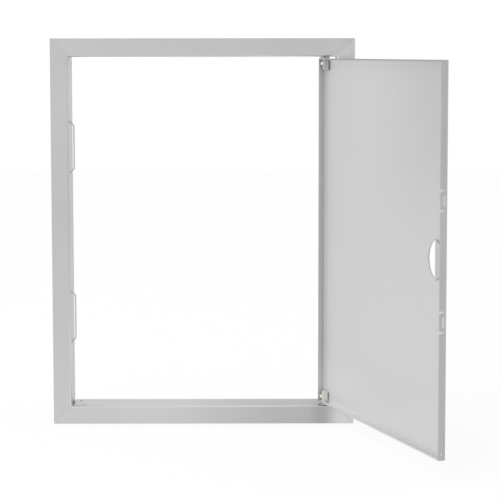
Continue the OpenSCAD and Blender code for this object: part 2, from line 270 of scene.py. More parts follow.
def calculate(material, operation, *terms):
    """The result of one math node, whose terms are sockets or plain numbers."""
    node = add_node(material, "ShaderNodeMath", {"operation": operation})
    for socket, term in zip(node.inputs, terms):
        if isinstance(term, bpy.types.NodeSocket):
            join(material, (term, socket))
        else:
            socket.default_value = term
    return node.outputs[0]


def fade(material, value, start, end):
    """A smooth step from 0 where the value is start to 1 where it is end."""
    smooth = {"interpolation_type": "SMOOTHSTEP"}
    step = add_node(material, "ShaderNodeMapRange", smooth, From_Min=start, From_Max=end)
    join(material, (value, step.inputs["Value"]))
    return step.outputs[0]


def stretched_noise(material, coordinates, scale, detail=3.0):
    """Noise read through a mapping, where scale gives its cells per metre along each axis."""
    mapping = add_node(material, "ShaderNodeMapping", Scale=scale)
    noise = add_node(material, "ShaderNodeTexNoise", Scale=1.0, Detail=detail, Roughness=0.55)
    join(material, (coordinates, mapping.inputs["Vector"]), (mapping.outputs[0], noise.inputs["Vector"]))
    return noise.outputs[0]


def weighted_sum(material, terms):
    """The sum of weight times value over (value, weight) pairs."""
    total = 0.0
    for value, weight in terms:
        total = calculate(material, "MULTIPLY_ADD", value, weight, total)
    return total


# %% [markdown]
# ### Skin and cut edge
# Brushing only reaches the skin of a sheet. Where the sheet was cut, at a hole, a slit or the free
# rim of a fold, its edge is duller. On the frame it is painted much darker, as painted shade in its
# slits and holes. The depth below the outer skin tells them apart: it is zero on that skin, the
# sheet's thickness on the other one, and in between only on a cut edge. A place that lies deeper
# still is on the lip that is folded back behind the finger opening, which gets a little less light.

# %% Depth inside a folded sheet
SHEET = 0.0015
FOLD_RADIUS = 0.0021
SKIN_ENDS = (0.0001, 0.0003)
EDGE_ENDS = (SHEET - 0.0003, SHEET - 0.0001)
LIP_STARTS = (SHEET + 0.0004, SHEET + 0.0006)
LIP_DARKER = 0.13


def split(material, vector, names="XYZ"):
    """The coordinates of a vector."""
    parts = add_node(material, "ShaderNodeSeparateXYZ")
    join(material, (vector, parts.inputs[0]))
    return [parts.outputs[name] for name in names]


def depth_in_sheet(material, distances):
    """Depth below the outer skin, from the distances to the planes of the walls that meet in a fold.

    With R the outer radius of the fold, it is R - sqrt(sum of max(R - distance, 0)^2), which follows
    the round of the fold.
    """
    squares = 0.0
    for distance in distances:
        short = calculate(material, "MAXIMUM", calculate(material, "SUBTRACT", FOLD_RADIUS, distance), 0.0)
        squares = calculate(material, "MULTIPLY_ADD", short, short, squares)
    return calculate(material, "SUBTRACT", FOLD_RADIUS, calculate(material, "SQRT", squares))


def outside_opening(material, place):
    """Distance from the collar's inner faces, outwards: the larger of |x| - width and |z| - height."""
    x, z = split(material, place, "XZ")
    beside = calculate(material, "SUBTRACT", calculate(material, "ABSOLUTE", x), opening_x)
    above = calculate(material, "SUBTRACT", calculate(material, "ABSOLUTE", z), opening_z)
    return calculate(material, "MAXIMUM", beside, above)


def behind_front(material, place):
    """Distance behind the front of the panel."""
    return calculate(material, "SUBTRACT", split(material, place, "Y")[0], flange_y)


def frame_depth(material, place):
    """Depth inside the sheet of the frame."""
    return depth_in_sheet(material, [outside_opening(material, place), behind_front(material, place)])


def leaf_distances(material, place):
    """Distances inwards from the leaf's side, level and front planes, and x and z, all when shut."""
    shut = add_node(material, "ShaderNodeVectorRotate", {"rotation_type": "Z_AXIS"}, Angle=-OPEN_ANGLE)
    shut.inputs["Center"].default_value = (*HINGE_AXIS, 0)
    join(material, (place, shut.inputs["Vector"]))
    x, z = split(material, shut.outputs[0], "XZ")
    beside = calculate(material, "SUBTRACT", leaf_x, calculate(material, "ABSOLUTE", x))
    above = calculate(material, "SUBTRACT", leaf_z, calculate(material, "ABSOLUTE", z))
    return beside, above, behind_front(material, shut.outputs[0]), x, z


def leaf_depth(material, place):
    """Depth inside the sheet of the leaf."""
    return depth_in_sheet(material, leaf_distances(material, place)[:3])


def by_depth(material, steps, skin, edge, inner):
    """A value that is skin, edge or inner by the two steps passed on the way in."""
    value = calculate(material, "MULTIPLY_ADD", steps[0], edge - skin, skin)
    return calculate(material, "MULTIPLY_ADD", steps[1], inner - edge, value)


# %% [markdown]
# ### Mitres
# The corners of the frame are butted, tacked and ground flush. So the front shows no groove at a
# mitre, only a slightly duller band. Close to the joint the shading keeps the flat front's normal,
# and the cut faces that meet there are painted bright, painted light that hides the shade in the
# narrow gap.

# %% Distance from a mitre
MITRE_FLUSH = (0.0006, 0.0004)
MITRE_FRONT = (0.0005, 0.0003)
MITRE_BAND = (0.0022, 0.0004)
MITRE_DULLER = 0.02
MITRE_GAP_LIGHT_TONE = 0.9


def from_mitre(material, place):
    """Distance in z from the diagonal through the corners: | |z| - |x| - (height - width) |."""
    x, z = (calculate(material, "ABSOLUTE", part) for part in split(material, place, "XZ"))
    over = calculate(material, "SUBTRACT", calculate(material, "SUBTRACT", z, x), opening_z - opening_x)
    return calculate(material, "ABSOLUTE", over)


# %% [markdown]
# ### Tints
# The tone of brushed sheet isn't even, because it mirrors what stands near and keeps the marks of
# work. Most changes here are painted light and shade; only the duller band at a mitre is a mark of
# work. Here the tone is multiplied by one plus a mask times a small change, once for each such place.
# A mask is a smooth step or hump between 0 and 1 along one distance, or a product of several.

# %% Masks, and the tint that they make together
def times(material, *factors):
    """The product of several sockets."""
    product = factors[0]
    for factor in factors[1:]:
        product = calculate(material, "MULTIPLY", product, factor)
    return product


def without(material, mask):
    """One minus a mask."""
    return calculate(material, "SUBTRACT", 1.0, mask)


def hump(material, value, start, top, end):
    """A smooth rise from start to top and fall from top to end."""
    return times(material, fade(material, value, start, top), fade(material, value, end, top))


def tint_by(material, *changes):
    """The product of one plus mask times change, over (mask, change) pairs."""
    factors = [calculate(material, "MULTIPLY_ADD", mask, change, 1.0) for mask, change in changes]
    return times(material, *factors)


# %% [markdown]
# On the frame, the round of the fold and the collar differ a little from the flange: the fold has a
# painted highlight and the collar painted shade. Near the lower hinge the flange has a painted shadow
# of the leaf, with a painted highlight beside it. Near the upper hinge the flange is slightly lighter,
# and so are part of the top fold and the foot of the whole frame, all painted light. The uprights are
# painted a little darker in their lower half, as painted shade.

# %% Tint of the frame
FOLD_BLEND = 0.0004
# Painted light along the foot of the frame.
LOW_Z = (-0.1, -opening_z)
LOW_LIGHTER = 0.05
# Painted shadow of the leaf on the flange near the lower hinge, and a painted highlight beside it.
HINGE_SHADOW_X = (0.12, 0.143, 0.16)
WIDE_HINGE_SHADOW_X = (-0.07, 0.13, 0.16)
HINGE_SHADOW_DARKER = 0.22
HINGE_HIGHLIGHT_X = (0.145, 0.172)
HINGE_HIGHLIGHT_LIGHTER = 0.12
# Painted light near the upper hinge and on part of the top fold.
UPPER_Z = (0.19, opening_z, 0.24)
UPPER_CORNER_X = (0.14, 0.16)
UPPER_CORNER_LIGHTER = 0.13
UPPER_FOLD_X = (0.03, 0.13)
UPPER_FOLD_LIGHTER = 0.2
# Painted shade on the lower half of the uprights.
UPRIGHT_Z = (0.15, 0.0)
UPRIGHT_TONES = (1.02, 0.96)


def fold_and_collar(material, place):
    """Masks of the round of the fold and of the collar behind it."""
    collar = fade(material, behind_front(material, place), FOLD_RADIUS - FOLD_BLEND, FOLD_RADIUS)
    near = fade(material, outside_opening(material, place), FOLD_RADIUS, FOLD_RADIUS - FOLD_BLEND)
    return times(material, near, without(material, collar)), collar


def between(material, mask, tones):
    """The first tone where the mask is zero, and the second one where it is one."""
    return calculate(material, "MULTIPLY_ADD", mask, tones[1] - tones[0], tones[0])


def frame_tint(material, place, fold_tones, collar_tone):
    """Painted light and shade of a frame member, plus its duller mitre bands; its fold has one painted
    tone at the top and one at the foot of the frame.
    """
    x, z = split(material, place, "XZ")
    low = fade(material, z, *LOW_Z)
    upper = hump(material, z, *UPPER_Z)
    fold, collar = fold_and_collar(material, place)
    low_flange = times(material, low, without(material, fold))
    fold_change = calculate(material, "SUBTRACT", between(material, low, fold_tones), 1.0)
    return tint_by(
        material,
        (fold, fold_change),
        (collar, collar_tone - 1),
        (fade(material, from_mitre(material, place), *MITRE_BAND), -MITRE_DULLER),
        (times(material, low_flange, hump(material, x, *HINGE_SHADOW_X)), -HINGE_SHADOW_DARKER),
        (times(material, low_flange, hump(material, x, *WIDE_HINGE_SHADOW_X)), -HINGE_SHADOW_DARKER),
        (times(material, low, fade(material, x, *HINGE_HIGHLIGHT_X)), HINGE_HIGHLIGHT_LIGHTER),
        (times(material, upper, fade(material, x, *UPPER_CORNER_X)), UPPER_CORNER_LIGHTER),
        (times(material, upper, fold, fade(material, x, *UPPER_FOLD_X)), UPPER_FOLD_LIGHTER),
        (low, LOW_LIGHTER),
    )


def level_tint(material, place):
    """Tint of the level members."""
    # The fold gets a painted highlight, stronger at the foot, and the collar slight painted shade.
    return frame_tint(material, place, fold_tones=(1.0, 1.2), collar_tone=0.97)


def upright_tint(material, place):
    """Tint of the upright members, whose lower half is painted a little darker, as painted shade."""
    lower = fade(material, split(material, place, "Z")[0], *UPRIGHT_Z)
    # The fold gets a painted highlight and the collar painted shade.
    tint = frame_tint(material, place, fold_tones=(1.2, 1.16), collar_tone=0.82)
    return times(material, tint, between(material, lower, UPRIGHT_TONES))


# %% [markdown]
# On the leaf, all of these changes are painted light and shade. The inside of the upright folds
# darkens towards their root, and that of the level folds is lighter. The face is lighter along its
# level and hinge-side folds, in its lower hinge corner and slightly in its lower half, and darker
# towards its upper free corner. The rim of the bottom fold catches more light than that of the top
# one, and a thin strip below the top fold lies in shade.

# %% Tint of the leaf
AT_INNER_SKIN = (SHEET - 0.0003, SHEET, SHEET + 0.0005)
PAST_INNER_SKIN = (SHEET + 0.0001, SHEET + 0.0005)
ROOT_TO_RIM = (SHEET, 0.013)
FOLD_DARKER = (0.28, 0.06)
LEVEL_FOLD_LIGHTER = 0.12
NEAR_FOLD = (0.009, 0.002)
NEAR_FOLD_LIGHTER = 0.12
FREE_CORNER_X = (0.05, -0.15)
FREE_CORNER_Z = (-0.05, 0.2)
FREE_CORNER_DARKER = 0.13
HINGE_CORNER_X = (-0.1, 0.13)
HINGE_CORNER_Z = (-0.13, -0.2)
HINGE_CORNER_LIGHTER = 0.12
INSIDE = (0.0005, 0.001)
RIM_ABOVE = (SHEET + 0.0003, SHEET + 0.0001)
RIM_BEHIND = (leaf_deep - 0.0003, leaf_deep - 0.0001)
LEAF_LOW_Z = (0.05, -0.2)
LEAF_TOP_Z = (0.0, 0.15)
LOW_RIM_LIGHTER = 0.28
TOP_RIM_DARKER = 0.2
LOW_FACE_LIGHTER = 0.04
TOP_SHADE = (0.0035, 0.0016)
TOP_SHADE_DARKER = 0.12


def corner(material, across, up, x_range, z_range):
    """Mask of a corner, the product of a smooth step in x and one in z."""
    return times(material, fade(material, across, *x_range), fade(material, up, *z_range))


def leaf_tint(material, place):
    """Painted light and shade of the leaf: of its folds and their rims, and of its face beside them and in
    two corners.
    """
    beside, above, behind, across, up = leaf_distances(material, place)
    low = fade(material, up, *LEAF_LOW_Z)
    top = fade(material, up, *LEAF_TOP_Z)
    between_folds = fade(material, beside, *PAST_INNER_SKIN)
    face = times(material, between_folds, fade(material, behind, *PAST_INNER_SKIN[::-1]))
    rim = times(material, fade(material, above, *RIM_ABOVE), fade(material, behind, *RIM_BEHIND))
    fold_darker = between(material, fade(material, behind, *ROOT_TO_RIM), FOLD_DARKER)
    nearest = calculate(material, "MINIMUM", above, calculate(material, "SUBTRACT", leaf_x, across))
    free_corner = corner(material, across, up, FREE_CORNER_X, FREE_CORNER_Z)
    hinge_corner = corner(material, across, up, HINGE_CORNER_X, HINGE_CORNER_Z)
    return tint_by(
        material,
        (times(material, hump(material, beside, *AT_INNER_SKIN), fold_darker), -1.0),
        (times(material, between_folds, hump(material, above, *AT_INNER_SKIN)), LEVEL_FOLD_LIGHTER),
        (times(material, face, fade(material, nearest, *NEAR_FOLD)), NEAR_FOLD_LIGHTER),
        (times(material, face, free_corner), -FREE_CORNER_DARKER),
        (times(material, hinge_corner, fade(material, behind, *INSIDE)), HINGE_CORNER_LIGHTER),
        (times(material, low, rim), LOW_RIM_LIGHTER),
        (times(material, top, rim), -TOP_RIM_DARKER),
        (times(material, low, face), LOW_FACE_LIGHTER),
        (times(material, top, face, fade(material, above, *TOP_SHADE)), -TOP_SHADE_DARKER),
    )


# %% [markdown]
# ### Grain
# Four patterns of noise add up to the brushing: fine scratches, coarser lines, broad bands across the
# grain, and clouds that have no grain. Each has its cells per metre along and across the grain, its
# detail and its share in the tone.

# %% Noise of a brushed sheet
PATTERNS = {
    "scratches": (30, 4500, 3.0, 0.3),
    "lines": (7, 700, 3.0, 0.25),
    # The bands are partly a faint painted reflection, the smear of what the sheet mirrors.
    "bands": (14, 3, 2.0, 0.3),
    "clouds": (9, 9, 3.0, 0.15),
}


def brushed_noise(material, place, grain):
    """The fine scratches alone, and the sum of share times noise over all patterns."""
    terms = []
    for along, across, detail, share in PATTERNS.values():
        cells = [along if axis == grain else across for axis in range(3)]
        terms.append((stretched_noise(material, place, cells, detail), share))
    return terms[0][0], weighted_sum(material, terms)


# %% [markdown]
# ### The material
# Tone, streaks, roughness and metal follow the depth in the sheet, and noise and tint then shift them.
# The shader works in world space, so the grain's direction and the flat normal at a mitre, which are
# those of the object, are turned into it.

# %% Directions for the shader
def world_direction(material, direction):
    """A direction of the object, in world space."""
    turn = {"convert_from": "OBJECT", "convert_to": "WORLD"}
    node = add_node(material, "ShaderNodeVectorTransform", turn, Vector=direction)
    return node.outputs[0]


def ground_flush(material, place, at_mitre, normal):
    """The normal, kept square to the front close to a mitre."""
    on_front = fade(material, behind_front(material, place), *MITRE_FRONT)
    blend = add_node(material, "ShaderNodeMix", {"data_type": "VECTOR"})
    join(
        material,
        (times(material, on_front, at_mitre), blend.inputs["Factor"]),
        (normal, blend.inputs["A"]),
        (world_direction(material, (0, -1, 0)), blend.inputs["B"]),
    )
    return blend.outputs["Result"]


# %% Brushed steel, with its grain along one axis
ANISOTROPY = 0.7
ACROSS_TANGENT = 0.25
BRUSHED_GLOSS = -0.2
BRUSHED_BUMP = {"Strength": 0.3, "Distance": 0.00001}


def brushed_steel(name, grain, depth_of, tint_of, tones, streaks, roughness, metal, mitred=False):
    """Brushed sheet whose grain runs along X (0), Y (1) or Z (2).

    Tones, streaks, roughness and metal are given for the outer skin, the cut edge and the inner skin.
    With t the noise along the grain, the colour is tint times tone (1 + streak (t - 0.5)), and the
    roughness is reduced by 0.2 (t - 0.5).
    """
    steel = bpy.data.materials.new(name)
    steel.use_nodes = True
    shader = steel.node_tree.nodes["Principled BSDF"]
    shader.inputs["Anisotropic"].default_value = ANISOTROPY
    shader.inputs["Anisotropic Rotation"].default_value = ACROSS_TANGENT
    place = add_node(steel, "ShaderNodeTexCoord").outputs["Object"]
    scratches, noise = brushed_noise(steel, place, grain)
    offset = calculate(steel, "SUBTRACT", noise, 0.5)
    bump = add_node(steel, "ShaderNodeBump", **BRUSHED_BUMP)
    normal = bump.outputs[0]
    depth = depth_of(steel, place)
    steps = [fade(steel, depth, *SKIN_ENDS), fade(steel, depth, *EDGE_ENDS)]
    changes = [(fade(steel, depth, *LIP_STARTS), -LIP_DARKER)]
    if mitred:
        at_mitre = fade(steel, from_mitre(steel, place), *MITRE_FLUSH)
        # Painted light on the cut faces in the mitre gap, where shade would fall.
        cut = times(steel, at_mitre, steps[0], without(steel, steps[1]))
        changes.append((cut, MITRE_GAP_LIGHT_TONE / tones[1] - 1))
        normal = ground_flush(steel, place, at_mitre, normal)
    tone = by_depth(steel, steps, *tones)
    gain = calculate(steel, "MULTIPLY_ADD", offset, by_depth(steel, steps, *streaks), 1.0)
    tint = times(steel, tint_by(steel, *changes), tint_of(steel, place))
    gloss = calculate(steel, "MULTIPLY_ADD", offset, BRUSHED_GLOSS, by_depth(steel, steps, *roughness))
    tangent = world_direction(steel, [float(axis == grain) for axis in range(3)])
    join(
        steel,
        (times(steel, tone, gain, tint), shader.inputs["Base Color"]),
        (gloss, shader.inputs["Roughness"]),
        (by_depth(steel, steps, *metal), shader.inputs["Metallic"]),
        (scratches, bump.inputs["Height"]),
        (normal, shader.inputs["Normal"]),
        (tangent, shader.inputs["Tangent"]),
    )
    return steel


# %% Finish of frame and leaf
ALONG_X, ALONG_Z = 0, 2
# On the frame the dark tone of the cut edge is painted shade in its slits and holes.
FRAME_FINISH = {
    "tones": (0.57, 0.3, 0.56),
    "streaks": (0.2, 0.3, 0.2),
    "roughness": (0.28, 0.5, 0.4),
    "metal": (1, 1, 1),
    "mitred": True,
}
LEAF_FINISH = {
    "tones": (0.58, 0.53, 0.655),
    "streaks": (0.3, 0.3, 0.14),
    "roughness": (0.3, 0.4, 0.46),
    "metal": (1, 1, 0.5),
}

level_steel = brushed_steel("level_member_steel", ALONG_X, frame_depth, level_tint, **FRAME_FINISH)
upright_steel = brushed_steel("upright_member_steel", ALONG_Z, frame_depth, upright_tint, **FRAME_FINISH)
leaf_steel = brushed_steel("leaf_steel", ALONG_Z, leaf_depth, leaf_tint, **LEAF_FINISH)
print("brushed steel with level and upright grain")

# %% [markdown]
# ## Plain steel and plastic
# The corner angles are cut from plain rolled strip, which has no grain but a cloudy, greyer face.
# Drawn wire and turned pins are glossier, with faint die lines along the wire. Painted shade darkens
# what lies in the seam behind the collar and in the bore of a rivet. The two hinge blocks are moulded
# in ivory plastic, semi-matt, with the slight mottle of a moulding, and the upper one is painted
# greyer, as painted shade under the top of the frame.

# %% Plain steels
SEAM_SHADE_STARTS = (0.00005, 0.00025)
SEAM_SHADE_ENDS = (0.0026, 0.0023)
SEAM_SHADE_DARKER = 0.6
PLAIN_GLOSS = -0.3
PLAIN_BUMP = {"Strength": 0.2, "Distance": 0.00001}


def plain_steel(name, middle, spread, roughness, scale, shade_in_seam=False):
    """Steel without grain, whose tone and roughness drift with one cloudy noise.

    With t the noise, the tone is middle + spread (t - 0.5), and the roughness is reduced by
    0.3 (t - 0.5). Painted shade darkens what lies behind the collar's inner face, up to 2.6 mm deep.
    """
    steel = bpy.data.materials.new(name)
    steel.use_nodes = True
    shader = steel.node_tree.nodes["Principled BSDF"]
    shader.inputs["Metallic"].default_value = 1.0
    place = add_node(steel, "ShaderNodeTexCoord").outputs["Object"]
    clouds = stretched_noise(steel, place, scale, 5.0)
    offset = calculate(steel, "SUBTRACT", clouds, 0.5)
    colour = calculate(steel, "MULTIPLY_ADD", offset, spread, middle)
    if shade_in_seam:
        # Painted shade in the seam behind the collar and in a rivet's bore.
        depth = outside_opening(steel, place)
        seam_shade = times(steel, fade(steel, depth, *SEAM_SHADE_STARTS), fade(steel, depth, *SEAM_SHADE_ENDS))
        colour = times(steel, colour, tint_by(steel, (seam_shade, -SEAM_SHADE_DARKER)))
    gloss = calculate(steel, "MULTIPLY_ADD", offset, PLAIN_GLOSS, roughness)
    bump = add_node(steel, "ShaderNodeBump", **PLAIN_BUMP)
    join(
        steel,
        (colour, shader.inputs["Base Color"]),
        (gloss, shader.inputs["Roughness"]),
        (clouds, bump.inputs["Height"]),
        (bump.outputs[0], shader.inputs["Normal"]),
    )
    return steel


rolled_steel = plain_steel(
    "rolled_strip_steel", middle=0.47, spread=0.25, roughness=0.42, scale=(90, 90, 90), shade_in_seam=True
)
rivet_steel = plain_steel(
    "rivet_steel", middle=0.45, spread=0.3, roughness=0.34, scale=(900, 900, 900), shade_in_seam=True
)
wire_steel = plain_steel(
    "spring_wire_steel", middle=0.62, spread=0.3, roughness=0.3, scale=(2500, 2500, 60)
)
pin_steel = plain_steel("pin_steel", middle=0.42, spread=0.3, roughness=0.32, scale=(900, 900, 900))
print("plain steels for angles, wires, pins and rivets")

# %% Ivory plastic
DARKER_IVORY = (0.64, 0.635, 0.575, 1)
LIGHTER_IVORY = (0.70, 0.70, 0.645, 1)
# The upper block is painted greyer, as painted shade under the top of the frame.
SHADED_IVORY = (0.46, 0.465, 0.44, 1)
SHADED_Z = (0.0, 0.19)
MOTTLE = (400, 400, 400)

ivory = bpy.data.materials.new("ivory_plastic")
ivory.use_nodes = True
ivory_shader = ivory.node_tree.nodes["Principled BSDF"]
ivory_shader.inputs["IOR"].default_value = 1.5
ivory_place = add_node(ivory, "ShaderNodeTexCoord").outputs["Object"]
ivory_mottle = stretched_noise(ivory, ivory_place, MOTTLE, 4.0)
ivory_colour = add_node(ivory, "ShaderNodeMix", {"data_type": "RGBA"})
ivory_colour.inputs["A"].default_value = DARKER_IVORY
ivory_colour.inputs["B"].default_value = LIGHTER_IVORY
ivory_shaded = add_node(ivory, "ShaderNodeMix", {"data_type": "RGBA"})
ivory_shaded.inputs["B"].default_value = SHADED_IVORY
ivory_height = fade(ivory, split(ivory, ivory_place, "Z")[0], *SHADED_Z)
ivory_gloss = add_node(ivory, "ShaderNodeMapRange", From_Min=0.3, From_Max=0.7, To_Min=0.5, To_Max=0.4)
ivory_bump = add_node(ivory, "ShaderNodeBump", Strength=0.15, Distance=0.00004)
join(
    ivory,
    (ivory_mottle, ivory_colour.inputs["Factor"]),
    (ivory_colour.outputs["Result"], ivory_shaded.inputs["A"]),
    (ivory_height, ivory_shaded.inputs["Factor"]),
    (ivory_shaded.outputs["Result"], ivory_shader.inputs["Base Color"]),
    (ivory_mottle, ivory_gloss.inputs["Value"]),
    (ivory_gloss.outputs[0], ivory_shader.inputs["Roughness"]),
    (ivory_mottle, ivory_bump.inputs["Height"]),
    (ivory_bump.outputs[0], ivory_shader.inputs["Normal"]),
)
print("ivory plastic")

# %% [markdown]
# ## Frame, angles, leaf and washers
# The folded sheets already have their true shape, so the loaded solids stay and only get their
# finish. A sheet cut by laser or shear and then deburred has no knife edge. So three modifiers soften
# every sharp edge by 0.15 mm: one merges the loose triangles, one joins those that lie in one plane,
# and one bevels the edges that are left.

# %% Give the sheets their finish
EDGE_SOFTENING = 0.00015
MERGE_WITHIN = 1e-6
FLAT_WITHIN = math.radians(0.5)
SHARP_FROM = math.radians(40)


def finish_sheet(name, material):
    """Gives a loaded solid its material and softens its sharp edges."""
    sheet = nodes[name]
    sheet.data.materials.clear()
    sheet.data.materials.append(material)
    sheet.modifiers.new("merge", "WELD").merge_threshold = MERGE_WITHIN
    flatten = sheet.modifiers.new("flatten", "DECIMATE")
    flatten.decimate_type = "DISSOLVE"
    flatten.angle_limit = FLAT_WITHIN
    soften = sheet.modifiers.new("soften", "BEVEL")
    soften.width = EDGE_SOFTENING
    soften.segments = 2
    soften.limit_method = "ANGLE"
    soften.angle_limit = SHARP_FROM
    soften.harden_normals = True


for member in ("frame_top", "frame_bottom"):
    finish_sheet(member, level_steel)
for member in ("frame_left", "frame_right"):
    finish_sheet(member, upright_steel)
for angle in sorted(name for name in nodes if name.startswith("corner_angle")):
    finish_sheet(angle, rolled_steel)
finish_sheet("leaf_pan", leaf_steel)
for washer in ("hinge_washer_top", "hinge_washer_bottom"):
    finish_sheet(washer, pin_steel)
print("sheets and washers finished")

# %% [markdown]
# ## Latch springs
# Each spring is one piece of hard wire, bent like a hat: a straight middle, two slanting legs that
# pass through slots in the collar, and two feet behind it. A circle carried along that path gives a
# smooth wire. The path is four corners rounded by the radius of the bending pin, and both ends of the
# wire are chamfered, as a cutter leaves them.

# %% Bend the wires
WIRE_BEND_RADIUS = 0.002
WIRE_LEG_ANGLE = math.radians(45)
WIRE_FOOT = 0.008
WIRE_CHAMFER = 0.0002


def spring_wire(node):
    """Grid of one bent wire, placed by the box of its solid."""
    low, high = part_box(node)
    radius = (high.y - low.y) / 2
    crown_x, foot_x = high.x - radius, low.x + radius
    middle_z, half = (low.z + high.z) / 2, (high.z - low.z) / 2
    foot_corner = half - WIRE_FOOT - WIRE_BEND_RADIUS * math.tan(WIRE_LEG_ANGLE / 2)
    crown_corner = foot_corner - (crown_x - foot_x) / math.tan(WIRE_LEG_ANGLE)
    corners = [
        (foot_x, -half), (foot_x, -foot_corner), (crown_x, -crown_corner),
        (crown_x, crown_corner), (foot_x, foot_corner), (foot_x, half),
    ]
    end = np.array([[foot_x, -half], [foot_x, -half + 0.1 * WIRE_CHAMFER], [foot_x, -half + WIRE_CHAMFER]])
    bent = np.concatenate([end, rounded(corners, WIRE_BEND_RADIUS)[1:-1], end[::-1] * (1, -1)])
    radii = np.full(len(bent), radius)
    radii[[0, -1]] = 0
    radii[[1, -2]] = radius - WIRE_CHAMFER
    middle_y = np.full(len(bent), (low.y + high.y) / 2)
    path = np.stack([bent[:, 0], middle_y, bent[:, 1] + middle_z], axis=-1)
    return swept_circle(path, radii, (0, 1, 0))


for node in ("latch_spring_upper", "latch_spring_lower"):
    wire = closed_mesh(f"{node}_wire", [spring_wire(node)])
    fitted_piece(f"{node}_wire", wire, wire_steel, "frame", node)

# %% [markdown]
# ## Rivets and pins
# Both are round, so each is a profile turned about an axis. A tubular rivet lies flush inside the
# collar, where its open end shows as a small dark hole, and ends in a low domed head behind the
# corner angle. A pivot pin is a plain rod with a bevelled tip. A small radius on every corner of a
# profile catches the light as a turned or pressed edge does.

# %% Set the rivets
RIVET_EDGE = 0.00012
RIVET_FROM_CORNER = 0.008
RIVET_FROM_REAR = 0.008
RIVET_CORNERS = [
    (0, 0.0022), (0.0014, 0.0022), (0.0014, 0), (0.0019, 0), (0.0019, 0.003),
    (0.0034, 0.003), (0.0034, 0.0034), (0.0026, 0.0039), (0, 0.004),
]
rivet_profile = rounded(RIVET_CORNERS, RIVET_EDGE, 4)
rivet_y = rear_y - RIVET_FROM_REAR

for side, side_name in ((-1, "left"), (1, "right")):
    for end, end_name in ((-1, "bottom"), (1, "top")):
        level_at = (side * (opening_x - RIVET_FROM_CORNER), rivet_y, end * opening_z)
        upright_at = (side * opening_x, rivet_y, end * (opening_z - RIVET_FROM_CORNER))
        level = turned(rivet_profile, level_at, (0, 0, end))
        upright = turned(rivet_profile, upright_at, (side, 0, 0))
        node = f"rivets_{end_name}_{side_name}"
        pair = closed_mesh(node, [level, upright])
        fitted_piece(f"{node}_turned", pair, rivet_steel, "frame", node)

# %% Set the pivot pins
PIN_BEVEL = 0.0005
PIN_EDGE = 0.0001

for end, end_name in ((-1, "bottom"), (1, "top")):
    node = f"hinge_pin_{end_name}"
    low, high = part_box(node)
    radius = (high.x - low.x) / 2
    inner, outer = sorted((end * low.z, end * high.z))
    tip = [(radius, outer - PIN_BEVEL), (radius - PIN_BEVEL, outer), (0, outer)]
    pin_profile = rounded([(0, inner), (radius, inner), *tip], PIN_EDGE, 4)
    pin = turned(pin_profile, (*HINGE_AXIS, 0), (0, 0, end))
    fitted_piece(f"{node}_turned", closed_mesh(node, [pin]), pin_steel, "leaf", node)

# %% [markdown]
# ## Hinge blocks
# Each block is one small moulding: a round boss that holds the pin, and a hollow foot that lies on the
# leaf and is open towards the latch side, with a rib between the two. A moulding has soft edges and a
# fillet wherever two of its walls meet, which is tedious to draw. So the plain forms are laid over
# each other, remeshed into one skin on a fine grid, and smoothed, which rounds the edges and fills the
# corners at once. That happens where the block lies on the closed leaf, because the grid follows the
# axes there, and the skin is then swung open.

# %% Mould the blocks
BOSS_RADIUS = 0.0023
BOSS_LENGTH = 0.012
FOOT_HEIGHT = 0.0125
FOOT_DEPTH = 0.0034
HOLLOW_DEPTH = 0.0015
HOLLOW_WALL = 0.001
FOOT_BESIDE_AXIS = (-0.005, 0.009)
RIB_WIDTH = 0.0024
FOLD_CLEARANCE = 0.0006
MOULD_GRID = 0.00014
MOULD_SMOOTHING = 4
seat_y = flange_y + SHEET


def prism(outline, low, high):
    """Closed grid over a flat outline in X and Y.

    Its rows are the outline's middle, the outline at the low and the high end, and its middle again.
    """
    outline = np.array(outline, float)
    middle = np.broadcast_to(outline.mean(axis=0), outline.shape)
    rows = [middle, outline, outline, middle]
    heights = np.array([low, low, high, high])[:, None, None] * np.ones((4, len(outline), 1))
    return np.concatenate([np.stack(rows), heights], axis=-1)


def rectangle(left, right, front, back):
    """Corners of a rectangle in X and Y."""
    return [(left, front), (right, front), (right, back), (left, back)]


def block_forms(seat_z, end):
    """Boss, rib and the four walls of the hollow foot of one block on the closed leaf."""
    x, y = HINGE_AXIS
    dome_z = seat_z - BOSS_LENGTH + BOSS_RADIUS
    q = np.linspace(np.pi / 2, 0, 9)
    dome = np.stack([BOSS_RADIUS * np.cos(q), dome_z - BOSS_RADIUS * np.sin(q)], axis=-1)
    boss = turned([*dome, (BOSS_RADIUS, seat_z), (0, seat_z)], (x, y, 0), (0, 0, 1))
    low, high = seat_z - FOOT_HEIGHT, seat_z - FOLD_CLEARANCE
    left, right = x + np.array(FOOT_BESIDE_AXIS)
    back = seat_y + FOOT_DEPTH
    forms = [
        boss,
        prism(rectangle(x - RIB_WIDTH / 2, x + RIB_WIDTH / 2, seat_y, y), dome_z, high),
        prism(rectangle(left, right, seat_y + HOLLOW_DEPTH, back), low, high),
        prism(rectangle(right - HOLLOW_WALL, right, seat_y, back), low, high),
        prism(rectangle(left, right, seat_y, back), low, low + HOLLOW_WALL),
        prism(rectangle(left, right, seat_y, back), high - HOLLOW_WALL, high),
    ]
    return [form * (1, 1, end) for form in forms]


def moulded(mesh):
    """The mesh as one remeshed and smoothed skin."""
    blank = bpy.data.objects.new("blank", mesh)
    scene.collection.objects.link(blank)
    remesh = blank.modifiers.new("remesh", "REMESH")
    remesh.mode = "VOXEL"
    remesh.voxel_size = MOULD_GRID
    smooth = blank.modifiers.new("smooth", "SMOOTH")
    smooth.iterations = MOULD_SMOOTHING
    skin = bpy.data.meshes.new_from_object(blank.evaluated_get(bpy.context.evaluated_depsgraph_get()))
    bpy.data.objects.remove(blank)
    return skin


